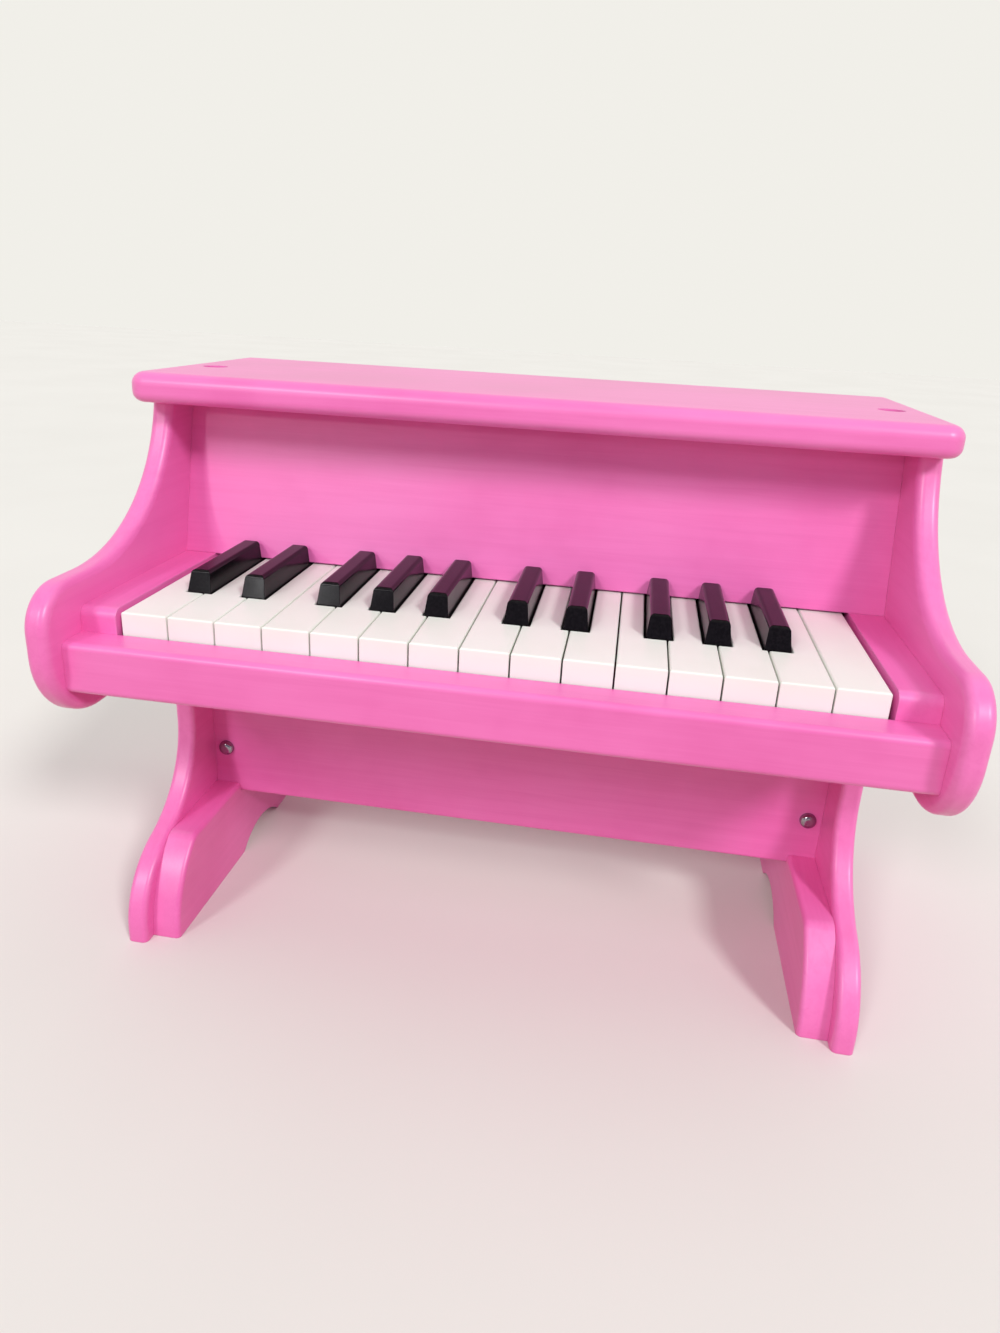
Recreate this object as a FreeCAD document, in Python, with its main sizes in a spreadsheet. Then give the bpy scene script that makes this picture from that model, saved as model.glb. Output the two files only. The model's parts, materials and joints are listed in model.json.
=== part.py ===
"""A toy upright piano with a two-octave keyboard, as separate wooden, moulded and steel pieces.

Millimetres, +Z up, origin on the floor under the middle of the piano. The front faces -Y.
Pieces are drawn about one datum, the front top edge of the white keys in the middle of the
keyboard, and each piece's placement carries that datum to its place above the floor.
"""
import FreeCAD, Part
import math
import os
import Sketcher

WHITE_KEYS = 15
OCTAVE = 7
# The black keys of an octave: the white key that each follows, and the name of its sideways shift.
BLACK_AFTER = {
    1: "c_sharp_share",
    2: "d_sharp_share",
    4: "f_sharp_share",
    5: "g_sharp_share",
    6: "a_sharp_share",
}
SEMITONES_TO_HALVE = 24
TOLERANCE = 1e-4

SIZES = {
    # The whole piano
    "overall_depth": 241.0,
    "overall_height": 292.0,
    "key_height": 192.5,
    "arm_setback": 26.5,
    # White and black keys
    "key_pitch": 22.5,
    "key_gap": 0.8,
    "key_length": 98.8,
    "key_skirt": 14.5,
    "key_wall": 1.8,
    "key_round": 0.8,
    "key_dip": 7.5,
    "black_setback": 36.5,
    "black_width": 11.8,
    "black_top_width": 9.4,
    "black_height": 10.5,
    "black_front_slope": 3.0,
    "black_round": 2.0,
    "black_gap": 1.0,
    "c_sharp_share": -0.12,
    "d_sharp_share": 0.12,
    "f_sharp_share": -0.18,
    "g_sharp_share": 0.0,
    "a_sharp_share": 0.18,
    # Key levers, hammers and pivot
    "lever_width": 9.0,
    "lever_drop": 4.0,
    "lever_lap": 8.0,
    "pivot_reach": 118.0,
    "pivot_diameter": 4.0,
    "pivot_clearance": 0.05,
    "hammer_reach": 38.0,
    "hammer_thickness": 7.0,
    "hammer_gap": 0.9,
    "hammer_round": 2.5,
    "tail_length": 4.5,
    # Balance rail, stops and springs
    "balance_depth": 12.0,
    "balance_clearance": 2.5,
    "tooth_thickness": 2.2,
    "tooth_rise": 4.5,
    "rod_end_length": 5.0,
    "rest_clearance": 0.3,
    "rest_felt_thickness": 3.0,
    "rest_depth": 12.0,
    "stop_reach": 42.0,
    "stop_depth": 10.0,
    "spring_reach": 60.0,
    "spring_strip_depth": 14.0,
    "spring_finger_length": 28.0,
    "spring_finger_width": 5.0,
    "spring_thickness": 0.6,
    # Tone bars and their rails
    "bar_rise": 18.0,
    "bar_length": 82.0,
    "bar_width": 9.6,
    "bar_thickness": 2.6,
    "bar_node_share": 0.276,
    "treble_share": 0.5,
    "bar_rail_width": 7.0,
    "bar_rail_height": 10.0,
    "bar_felt_width": 6.0,
    "bar_felt_thickness": 2.0,
    "bar_pin_diameter": 1.6,
    "bar_pin_clearance": 0.2,
    "bar_pin_length": 14.0,
    "bar_pin_rise": 2.5,
    "post_margin": 3.0,
    # Keybed, slip and cheek blocks
    "cheek_width": 17.5,
    "cheek_gap": 2.0,
    "cheek_rise": 1.0,
    "cheek_round": 4.5,
    "slip_thickness": 15.8,
    "slip_drop": 10.9,
    "slip_clearance": 1.0,
    "slip_round": 3.0,
    "keybed_drop": 25.5,
    "keybed_thickness": 10.0,
    # Side boards
    "side_thickness": 11.5,
    "arm_rise": 15.2,
    "arm_drop": 52.0,
    "arm_run": 36.5,
    "nose_radius": 20.5,
    "chin_radius": 35.0,
    "sweep_radius": 86.0,
    "edge_round": 4.0,
    # Lid, panels and inner battens
    "lid_thickness": 15.2,
    "lid_overhang": 3.25,
    "lid_front_overhang": 18.1,
    "lid_back_overhang": 4.0,
    "lid_corner": 9.0,
    "lid_top_round": 6.5,
    "lid_bottom_round": 5.0,
    "panel_thickness": 8.0,
    "panel_lean": 19.5,
    "back_thickness": 5.0,
    "batten_depth": 14.0,
    "batten_height": 18.0,
    "cleat_width": 12.0,
    "cleat_depth": 17.0,
    # Legs, feet and modesty board
    "leg_thickness": 11.2,
    "leg_setback": 73.0,
    "leg_hollow_radius": 55.0,
    "leg_round_radius": 45.0,
    "leg_back_inset": 8.0,
    "leg_edge_round": 3.0,
    "toe_setback": 7.0,
    "toe_height": 6.0,
    "foot_thickness": 15.0,
    "foot_setback": 14.0,
    "foot_height": 49.5,
    "foot_radius": 62.0,
    "foot_knee_radius": 8.0,
    "foot_edge_round": 2.5,
    "arch_setback": 96.0,
    "arch_length": 52.0,
    "arch_height": 10.0,
    "modesty_thickness": 11.0,
    "modesty_setback": 95.9,
    "modesty_lap": 5.5,
    "modesty_round": 2.0,
    # Fasteners
    "bolt_diameter": 5.0,
    "bolt_head_diameter": 9.0,
    "bolt_head_height": 3.2,
    "bolt_head_round": 2.6,
    "bolt_length": 32.0,
    "bolt_drop": 105.0,
    "nut_diameter": 9.0,
    "nut_end_gap": 1.5,
    "nut_clearance": 0.05,
    "screw_diameter": 3.5,
    "screw_head_diameter": 7.6,
    "screw_head_height": 2.4,
    "screw_head_chamfer": 0.8,
    "screw_clearance": 0.3,
    "screw_inset": 16.0,
    "screw_grip": 14.0,
    "lid_screw_head_diameter": 13.5,
    "lid_screw_depth": 1.0,
    "cut_overrun": 2.0,
}


class Size:
    """A length worked out from the sheet: its expression, and its value now."""

    def __init__(self, text, number):
        self.text, self.number = text, number

    def _with(self, sign, other, work, swap=False):
        other = as_size(other)
        first, second = (other, self) if swap else (self, other)
        return Size(f"({first.text} {sign} {second.text})", work(first.number, second.number))

    def __add__(self, other):
        return self._with("+", other, lambda a, b: a + b)

    def __sub__(self, other):
        return self._with("-", other, lambda a, b: a - b)

    def __rsub__(self, other):
        return self._with("-", other, lambda a, b: a - b, swap=True)

    def __mul__(self, other):
        return self._with("*", other, lambda a, b: a * b)

    def __truediv__(self, other):
        return self._with("/", other, lambda a, b: a / b)

    def __neg__(self):
        return Size(f"(0 - {self.text})", -self.number)

    __radd__, __rmul__ = __add__, __mul__


def as_size(value):
    return value if isinstance(value, Size) else Size(repr(value), value)


def root(size):
    return Size(f"sqrt({size.text})", math.sqrt(size.number))


class Sheet:
    """The driving dimensions, as cells with aliases and as sizes to work with."""

    def __init__(self, doc):
        self.cells = doc.addObject("Spreadsheet::Sheet", "dims")
        for row, (alias, number) in enumerate(SIZES.items(), 1):
            self.cells.set(f"A{row}", alias)
            self.cells.set(f"B{row}", str(number))
            self.cells.setAlias(f"B{row}", alias)
        doc.recompute()

    def __getattr__(self, alias):
        return Size(f"dims.{alias}", float(self.cells.get(alias)))


doc = FreeCAD.newDocument("toy_piano")
dim = Sheet(doc)
pieces = []

# Places about the datum that several pieces share
DATUM_Y = dim.arm_setback - dim.overall_depth / 2
DATUM_Z = dim.key_height
KEYS_HALF = WHITE_KEYS / 2 * dim.key_pitch
INNER_HALF = KEYS_HALF + dim.cheek_gap + dim.cheek_width
OUTER_HALF = INNER_HALF + dim.side_thickness
LEG_INNER = INNER_HALF - dim.leg_thickness
FOOT_INNER = LEG_INNER - dim.foot_thickness
FLOOR = -dim.key_height
LID_TOP = dim.overall_height - dim.key_height
LID_BOTTOM = LID_TOP - dim.lid_thickness
NOSE = -dim.arm_setback
LID_BACK = dim.overall_depth - dim.arm_setback
SIDE_BACK = LID_BACK - dim.lid_back_overhang
INSIDE_BACK = SIDE_BACK - dim.back_thickness
LEG_BACK = SIDE_BACK - dim.leg_back_inset
KEYBED_TOP = -dim.keybed_drop
KEYBED_BOTTOM = KEYBED_TOP - dim.keybed_thickness
SLIP_BACK = -dim.slip_clearance
PANEL_BACK = dim.key_length + dim.panel_thickness
SWEEP_START = NOSE + dim.arm_run
SWEEP_RISE = LID_BOTTOM - dim.arm_rise
SWEEP_SHORT = dim.sweep_radius - SWEEP_RISE
SWEEP_TOP = SWEEP_START + root(dim.sweep_radius * dim.sweep_radius - SWEEP_SHORT * SWEEP_SHORT)
LID_FRONT = SWEEP_TOP - dim.lid_front_overhang
MODESTY_BACK = dim.modesty_setback + dim.modesty_thickness
FOOT_TOP = FLOOR + dim.foot_height
MODESTY_BOTTOM = FOOT_TOP - dim.modesty_lap
BOLT_X = (LEG_INNER + FOOT_INNER) / 2
BOLT_Z = -dim.key_skirt - dim.bolt_drop
BOLT_TIP = dim.modesty_setback + dim.bolt_length
NUT_Y = BOLT_TIP - dim.nut_diameter / 2
PIVOT_Z = -(dim.key_skirt + dim.lever_drop) / 2
STRIKE_Y = dim.pivot_reach + dim.hammer_reach
BAR_SEAT = dim.bar_rise - dim.bar_felt_thickness
RAIL_BOTTOM = BAR_SEAT - dim.bar_rail_height
LEG_SCREW_SEAT = KEYBED_TOP - dim.screw_head_height
LID_SCREW_SEAT = LID_TOP - dim.lid_screw_depth - dim.screw_head_height


# Drawing helpers

def bind(thing, target, size):
    thing.setExpression(target, as_size(size).text)


def settle(thing, x=0):
    """Carry a piece from the datum to its place above the floor."""
    if x != 0:
        bind(thing, "Placement.Base.x", x)
    bind(thing, "Placement.Base.y", DATUM_Y)
    bind(thing, "Placement.Base.z", DATUM_Z)


def keep(thing, label):
    """Hand a finished sub-part in under its label."""
    thing.Label = label
    pieces.append(thing)
    return thing


def new_body(label, x=0):
    body = doc.addObject("PartDesign::Body", label)
    settle(body, x)
    return keep(body, label)


def new_sketch(body, role, offset=0):
    plane = next(f for f in body.Origin.OriginFeatures if f.Role == role)
    sketch = body.newObject("Sketcher::SketchObject", "outline")
    sketch.AttachmentSupport = [(plane, "")]
    sketch.MapMode = "FlatFace"
    if offset != 0:
        bind(sketch, "AttachmentOffset.Base.z", offset)
    return sketch


def curve(start, end, radius, turn):
    """An arc between two points, turning left (1) or right (-1)."""
    across = end - start
    left = FreeCAD.Vector(-across.y, across.x, 0).normalize()
    reach = math.sqrt(radius ** 2 - across.Length ** 2 / 4)
    middle = (start + end) / 2 + left * (turn * reach)
    ends = (start, end) if turn > 0 else (end, start)
    first, last = (math.atan2((p - middle).y, (p - middle).x) for p in ends)
    circle = Part.Circle(middle, FreeCAD.Vector(0, 0, 1), radius)
    return Part.ArcOfCircle(circle, first, last + (2 * math.pi if last < first else 0))


def draw(sketch, path):
    """A closed outline with every corner pinned: (u, v), or (u, v, radius, turn) for an arc to there."""
    corners = [[as_size(value) for value in corner[:2]] for corner in path]
    spots = [FreeCAD.Vector(u.number, v.number, 0) for u, v in corners]
    shapes, ends, rules, sizes = [], [], [], []
    for i, corner in enumerate(path):
        arc = len(corner) > 2
        if arc:
            shapes.append(curve(spots[i - 1], spots[i], corner[2].number, corner[3]))
        else:
            shapes.append(Part.LineSegment(spots[i - 1], spots[i]))
        ends.append((2, 1) if arc and corner[3] < 0 else (1, 2))
    first = sketch.GeometryCount
    sketch.addGeometry(shapes)
    for i, corner in enumerate(path):
        here, after = first + i, (i + 1) % len(path)
        rules.append(Sketcher.Constraint("Coincident", here, ends[i][1], first + after, ends[after][0]))
        sizes.append(None)
        for kind, size in zip(("DistanceX", "DistanceY"), corners[i]):
            rules.append(Sketcher.Constraint(kind, -1, 1, here, ends[i][1], size.number))
            sizes.append(size)
        if len(corner) > 2:
            rules.append(Sketcher.Constraint("Radius", here, corner[2].number))
            sizes.append(corner[2])
    add_rules(sketch, rules, sizes)


def draw_circle(sketch, u, v, radius):
    u, v = as_size(u), as_size(v)
    middle = FreeCAD.Vector(u.number, v.number, 0)
    ring = sketch.addGeometry(Part.Circle(middle, FreeCAD.Vector(0, 0, 1), radius.number))
    rules = [
        Sketcher.Constraint("DistanceX", -1, 1, ring, 3, u.number),
        Sketcher.Constraint("DistanceY", -1, 1, ring, 3, v.number),
        Sketcher.Constraint("Radius", ring, radius.number),
    ]
    add_rules(sketch, rules, [u, v, radius])


def add_rules(sketch, rules, sizes):
    first = sketch.ConstraintCount
    sketch.addConstraint(rules)
    for i, size in enumerate(sizes):
        if size is not None:
            bind(sketch, f"Constraints[{first + i}]", size)


def rectangle(u0, v0, u1, v1):
    return [(u0, v0), (u1, v0), (u1, v1), (u0, v1)]


def pad(body, sketch, length, middle=False, reverse=False):
    feature = body.newObject("PartDesign::Pad", "pad")
    feature.Profile = sketch
    feature.Midplane = middle
    feature.Reversed = reverse
    bind(feature, "Length", length)
    return feature


def cut(body, sketch, depth, reverse=False):
    """A pocket behind its sketch, or in front of it where reversed."""
    feature = body.newObject("PartDesign::Pocket", "cut")
    feature.Profile = sketch
    feature.Reversed = reverse
    bind(feature, "Length", depth)
    return feature


def cut_through(body, sketch):
    """A pocket through everything, both ways from its sketch."""
    feature = body.newObject("PartDesign::Pocket", "cut")
    feature.Profile = sketch
    feature.Type = "ThroughAll"
    feature.Midplane = True
    return feature


def circles(body, role, places, diameter, offset=0):
    """A sketch of equal circles."""
    sketch = new_sketch(body, role, offset)
    for u, v in places:
        draw_circle(sketch, u, v, diameter / 2)
    return sketch


def drill(body, role, places, diameter):
    cut_through(body, circles(body, role, places, diameter + 2 * dim.screw_clearance))


def ease_edges(body, feature, kind, size, pick):
    """A fillet or chamfer on the edges of a body's last feature whose box is picked."""
    feature.recompute(True)
    names = [f"Edge{i}" for i, edge in enumerate(feature.Shape.Edges, 1) if pick(edge.BoundBox)]
    eased = body.newObject(f"PartDesign::{kind}", "easing")
    eased.Base = (feature, names)
    bind(eased, "Radius" if kind == "Fillet" else "Size", size)
    return eased


def round_edges(body, feature, radius, pick):
    return ease_edges(body, feature, "Fillet", radius, pick)


def near(number, size):
    return abs(number - as_size(size).number) < TOLERANCE


def flat_in(low, high, size):
    """Whether a box is flat along one axis, at a place on it."""
    return near(low, size) and near(high, size)


def place(thing, spot):
    """Put a primitive's corner or centre at a spot about the datum."""
    for axis, value, datum in zip("xyz", spot, (0, DATUM_Y, DATUM_Z)):
        bind(thing, f"Placement.Base.{axis}", value + datum)


def block(low, high):
    box = doc.addObject("Part::Box", "block")
    for name, start, end in zip(("Length", "Width", "Height"), low, high):
        bind(box, name, end - start)
    place(box, low)
    return box


def board(label, low, high):
    """A plain board between two corners about the datum."""
    return keep(block(low, high), label)


def cylinder(spot, diameter, length, turn=None):
    """A cylinder up from a spot, or along an axis that a turn gives."""
    rod = doc.addObject("Part::Cylinder", "cylinder")
    bind(rod, "Radius", diameter / 2)
    bind(rod, "Height", length)
    if turn:
        rod.Placement.Rotation = turn
    place(rod, spot)
    return rod


def difference(base, tool):
    cut_piece = doc.addObject("Part::Cut", "difference")
    cut_piece.Base = base
    cut_piece.Tool = tool
    return cut_piece


def together(label, shapes):
    """Separate solids that share one node."""
    compound = doc.addObject("Part::Compound", label)
    compound.Links = shapes
    return keep(compound, label)


def mirrored(source, label):
    """The left-hand twin of a right-hand piece."""
    twin = doc.addObject("Part::Mirroring", label)
    twin.Source = source
    twin.Normal = FreeCAD.Vector(1, 0, 0)
    return keep(twin, label)


# Places along the keyboard

def black_shift(after):
    """The sideways shift of the black key after a white key, or None where there is no black key."""
    name = BLACK_AFTER.get((after - 1) % OCTAVE + 1) if 0 < after < WHITE_KEYS else None
    return getattr(dim, name) if name else None


def black_centre(after):
    return (after + black_shift(after)) * dim.key_pitch - KEYS_HALF


def white_left(number):
    return (number - 1) * dim.key_pitch - KEYS_HALF


def white_tail(number):
    """The two sides of a white key's tail, from the key's own left end."""
    room = dim.black_width / 2 + dim.key_gap
    left, right = dim.key_gap / 2, dim.key_pitch - dim.key_gap / 2
    if black_shift(number - 1):
        left = black_shift(number - 1) * dim.key_pitch + room
    if black_shift(number):
        right = (1 + black_shift(number)) * dim.key_pitch - room
    return left, right


def white_centre(number):
    left, right = white_tail(number)
    return (left + right) / 2


def lever_places():
    """The middle of every key's lever, from bass to treble."""
    places = []
    for number in range(1, WHITE_KEYS + 1):
        places.append(white_left(number) + white_centre(number))
        if black_shift(number):
            places.append(black_centre(number))
    return places


LEVERS = lever_places()
BETWEEN = [(a + b) / 2 for a, b in zip(LEVERS, LEVERS[1:])]
TOOTH_REACH = dim.lever_width / 2 + dim.tooth_thickness
TEETH = [LEVERS[0] - TOOTH_REACH] + BETWEEN + [LEVERS[-1] + TOOTH_REACH]


# Cabinet

def side_boards():
    body = new_body("right_side")
    sketch = new_sketch(body, "YZ_Plane", INNER_HALF)
    draw(sketch, [
        (SIDE_BACK, LID_BOTTOM),
        (SWEEP_TOP, LID_BOTTOM),
        (SWEEP_START, dim.arm_rise, dim.sweep_radius, -1),
        (NOSE + dim.nose_radius, dim.arm_rise),
        (NOSE, dim.arm_rise - dim.nose_radius, dim.nose_radius, 1),
        (NOSE, dim.chin_radius - dim.arm_drop),
        (NOSE + dim.chin_radius, -dim.arm_drop, dim.chin_radius, 1),
        (SIDE_BACK, -dim.arm_drop),
    ])
    plank = pad(body, sketch, dim.side_thickness)
    round_edges(body, plank, dim.edge_round, lambda box: near(box.XMin, box.XMax)
                and not flat_in(box.YMin, box.YMax, SIDE_BACK)
                and not flat_in(box.ZMin, box.ZMax, LID_BOTTOM))
    mirrored(body, "left_side")


def lid():
    body = new_body("lid")
    half = OUTER_HALF + dim.lid_overhang
    sketch = new_sketch(body, "XY_Plane", LID_BOTTOM)
    draw(sketch, [
        (half, LID_BACK),
        (-half, LID_BACK),
        (-half, LID_FRONT + dim.lid_corner),
        (dim.lid_corner - half, LID_FRONT, dim.lid_corner, 1),
        (half - dim.lid_corner, LID_FRONT),
        (half, LID_FRONT + dim.lid_corner, dim.lid_corner, 1),
    ])
    plank = pad(body, sketch, dim.lid_thickness)
    for level, radius in ((LID_TOP, dim.lid_top_round), (LID_BOTTOM, dim.lid_bottom_round)):
        plank = round_edges(body, plank, radius, lambda box: flat_in(box.ZMin, box.ZMax, level)
                            and not flat_in(box.YMin, box.YMax, LID_BACK))
    drill(body, "XY_Plane", lid_screw_places(), dim.screw_diameter)
    sinks = circles(body, "XY_Plane", lid_screw_places(), dim.lid_screw_head_diameter, LID_SCREW_SEAT)
    cut(body, sinks, LID_TOP - LID_SCREW_SEAT, reverse=True)


def front_panel():
    body = new_body("front_panel")
    sketch = new_sketch(body, "YZ_Plane")
    draw(sketch, [
        (dim.key_length, dim.cheek_rise),
        (PANEL_BACK, dim.cheek_rise),
        (PANEL_BACK + dim.panel_lean, LID_BOTTOM),
        (dim.key_length + dim.panel_lean, LID_BOTTOM),
    ])
    pad(body, sketch, 2 * INNER_HALF, middle=True)


def panel_cleats():
    body = new_body("panel_cleats")
    sketch = new_sketch(body, "YZ_Plane", INNER_HALF - dim.cleat_width)
    draw(sketch, [
        (PANEL_BACK, dim.cheek_rise),
        (PANEL_BACK + dim.cleat_depth, dim.cheek_rise),
        (PANEL_BACK + dim.cleat_depth + dim.panel_lean, LID_BOTTOM),
        (PANEL_BACK + dim.panel_lean, LID_BOTTOM),
    ])
    cleat = pad(body, sketch, dim.cleat_width)
    twin = body.newObject("PartDesign::Mirrored", "twin")
    twin.Originals = [cleat]
    twin.MirrorPlane = (next(f for f in body.Origin.OriginFeatures if f.Role == "YZ_Plane"), [""])
    body.Tip = twin


def keybed():
    body = new_body("keybed")
    sketch = new_sketch(body, "XY_Plane", KEYBED_BOTTOM)
    draw(sketch, rectangle(-INNER_HALF, SLIP_BACK, INNER_HALF, INSIDE_BACK))
    pad(body, sketch, dim.keybed_thickness)
    drill(body, "XY_Plane", leg_screw_places(), dim.screw_diameter)
    sinks = circles(body, "XY_Plane", leg_screw_places(), dim.screw_head_diameter, LEG_SCREW_SEAT)
    cut(body, sinks, dim.screw_head_height, reverse=True)


def key_slip():
    body = new_body("key_slip")
    sketch = new_sketch(body, "YZ_Plane")
    front = SLIP_BACK - dim.slip_thickness
    draw(sketch, rectangle(front, KEYBED_BOTTOM, SLIP_BACK, -dim.slip_drop))
    plank = pad(body, sketch, 2 * INNER_HALF, middle=True)
    round_edges(body, plank, dim.slip_round, lambda box: flat_in(box.YMin, box.YMax, front)
                and near(box.ZMin, box.ZMax))


def cheek_blocks():
    body = new_body("right_cheek_block")
    sketch = new_sketch(body, "XY_Plane", KEYBED_TOP)
    draw(sketch, rectangle(INNER_HALF - dim.cheek_width, SLIP_BACK, INNER_HALF, PANEL_BACK))
    plank = pad(body, sketch, dim.keybed_drop + dim.cheek_rise)
    round_edges(body, plank, dim.cheek_round, lambda box: flat_in(box.YMin, box.YMax, SLIP_BACK)
                and flat_in(box.ZMin, box.ZMax, dim.cheek_rise))
    mirrored(body, "left_cheek_block")


def back_panel():
    body = new_body("back_panel")
    sketch = new_sketch(body, "XZ_Plane", -SIDE_BACK)
    draw(sketch, rectangle(-INNER_HALF, KEYBED_BOTTOM, INNER_HALF, LID_BOTTOM))
    pad(body, sketch, dim.back_thickness)
    drill(body, "XZ_Plane", back_screw_places(), dim.screw_diameter)
    board("top_batten", (-INNER_HALF, INSIDE_BACK - dim.batten_depth, LID_BOTTOM - dim.batten_height),
          (INNER_HALF, INSIDE_BACK, LID_BOTTOM))


# Leg frame

def arch():
    """The part of an outline that rises off the floor between the front and the rear of a leg or a foot."""
    half, height = dim.arch_length / 2, dim.arch_height
    radius = (half * half + height * height) / (2 * height)
    return [(dim.arch_setback, FLOOR), (dim.arch_setback + dim.arch_length, FLOOR, radius, -1)]


def legs():
    body = new_body("right_leg")
    hollow_y = dim.leg_setback - dim.leg_hollow_radius
    round_y = dim.toe_setback + dim.leg_round_radius
    spread = dim.leg_hollow_radius + dim.leg_round_radius
    drop = root(spread * spread - (round_y - hollow_y) * (round_y - hollow_y))
    round_z = FLOOR + dim.toe_height
    hollow_z = round_z + drop
    along = dim.leg_hollow_radius / spread
    sketch = new_sketch(body, "YZ_Plane", LEG_INNER)
    draw(sketch, [
        (LEG_BACK, KEYBED_BOTTOM),
        (dim.leg_setback, KEYBED_BOTTOM),
        (dim.leg_setback, hollow_z),
        (hollow_y + (round_y - hollow_y) * along, hollow_z - drop * along, dim.leg_hollow_radius, -1),
        (dim.toe_setback, round_z, dim.leg_round_radius, 1),
        (dim.toe_setback, FLOOR),
        *arch(),
        (LEG_BACK, FLOOR),
    ])
    plank = pad(body, sketch, dim.leg_thickness)
    round_edges(body, plank, dim.leg_edge_round, lambda box: near(box.XMin, box.XMax)
                and box.YMax < dim.arch_setback.number and not near(box.ZMin, box.ZMax))
    mirrored(body, "left_leg")


def feet():
    """Inner planks: a bowed front up to a small knee, and a rebate that the modesty board stands in."""
    body = new_body("right_foot")
    bow_y = dim.foot_setback + dim.foot_radius
    spread = dim.foot_radius - dim.foot_knee_radius
    knee_rise = dim.foot_height - dim.foot_knee_radius
    knee_run = root(spread * spread - knee_rise * knee_rise)
    along = dim.foot_radius / spread
    sketch = new_sketch(body, "YZ_Plane", FOOT_INNER)
    draw(sketch, [
        (LEG_BACK, KEYBED_BOTTOM),
        (MODESTY_BACK, KEYBED_BOTTOM),
        (MODESTY_BACK, MODESTY_BOTTOM),
        (dim.modesty_setback, MODESTY_BOTTOM),
        (dim.modesty_setback, FOOT_TOP),
        (bow_y - knee_run, FOOT_TOP),
        (bow_y - knee_run * along, FLOOR + knee_rise * along, dim.foot_knee_radius, 1),
        (dim.foot_setback, FLOOR, dim.foot_radius, 1),
        *arch(),
        (LEG_BACK, FLOOR),
    ])
    plank = pad(body, sketch, dim.foot_thickness)
    round_edges(body, plank, dim.foot_edge_round, lambda box: flat_in(box.XMin, box.XMax, FOOT_INNER)
                and box.YMax < bow_y.number and not near(box.ZMin, box.ZMax))
    bore = dim.bolt_diameter + 2 * dim.screw_clearance
    cut(body, circles(body, "XZ_Plane", [(BOLT_X, BOLT_Z)], bore, -MODESTY_BACK),
        BOLT_TIP - MODESTY_BACK + dim.cut_overrun)
    socket = dim.nut_diameter + 2 * dim.nut_clearance
    cut(body, circles(body, "YZ_Plane", [(NUT_Y, BOLT_Z)], socket, FOOT_INNER),
        dim.foot_thickness - dim.nut_end_gap, reverse=True)
    mirrored(body, "left_foot")


def modesty_board():
    body = new_body("modesty_board")
    sketch = new_sketch(body, "XZ_Plane", -MODESTY_BACK)
    draw(sketch, rectangle(-LEG_INNER, MODESTY_BOTTOM, LEG_INNER, KEYBED_BOTTOM))
    plank = pad(body, sketch, dim.modesty_thickness)
    round_edges(body, plank, dim.modesty_round, lambda box: flat_in(box.YMin, box.YMax, dim.modesty_setback)
                and flat_in(box.ZMin, box.ZMax, MODESTY_BOTTOM))
    drill(body, "XZ_Plane", bolt_places(), dim.bolt_diameter)


# Fasteners

def bolt_places():
    return [(BOLT_X, BOLT_Z), (-BOLT_X, BOLT_Z)]


def leg_screw_places():
    front = MODESTY_BACK + dim.screw_inset
    return [(x, y) for x in (BOLT_X, -BOLT_X) for y in (front, LEG_BACK - dim.screw_inset)]


def back_screw_places():
    low = (KEYBED_BOTTOM + KEYBED_TOP) / 2
    high = LID_BOTTOM - dim.batten_height / 2
    edge = INNER_HALF - dim.screw_inset
    return [(x, z) for z in (low, high) for x in (-edge, 0, edge)]


def lid_screw_places():
    x = INNER_HALF - dim.cleat_width / 2
    y = PANEL_BACK + dim.panel_lean + dim.cleat_depth / 2
    return [(x, y), (-x, y)]


def screws(label, role, seat, places, shank, head, easing, faces_out=True):
    """Bolts or screws as one node: shank and head as (diameter, length) about a seat."""
    body = new_body(label)
    pad(body, circles(body, role, places, shank[0], seat), shank[1], reverse=faces_out)
    heads = pad(body, circles(body, role, places, head[0], seat), head[1], reverse=not faces_out)
    axis = "Z" if role == "XY_Plane" else "Y"
    out = head[1] if faces_out == (axis == "Z") else -head[1]
    crown = (seat if axis == "Z" else -seat) + out
    ease_edges(body, heads, easing[0], easing[1],
               lambda box: flat_in(getattr(box, axis + "Min"), getattr(box, axis + "Max"), crown))


def barrel_nuts():
    """Cross dowels in the foot boards, with the bolts' bores through them."""
    body = new_body("barrel_nuts")
    length = dim.foot_thickness - dim.nut_end_gap
    barrel = pad(body, circles(body, "YZ_Plane", [(NUT_Y, BOLT_Z)], dim.nut_diameter, FOOT_INNER), length)
    twin = body.newObject("PartDesign::Mirrored", "twin")
    twin.Originals = [barrel]
    twin.MirrorPlane = (next(f for f in body.Origin.OriginFeatures if f.Role == "YZ_Plane"), [""])
    body.Tip = twin
    cut_through(body, circles(body, "XZ_Plane", bolt_places(), dim.bolt_diameter + 2 * dim.nut_clearance))


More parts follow.
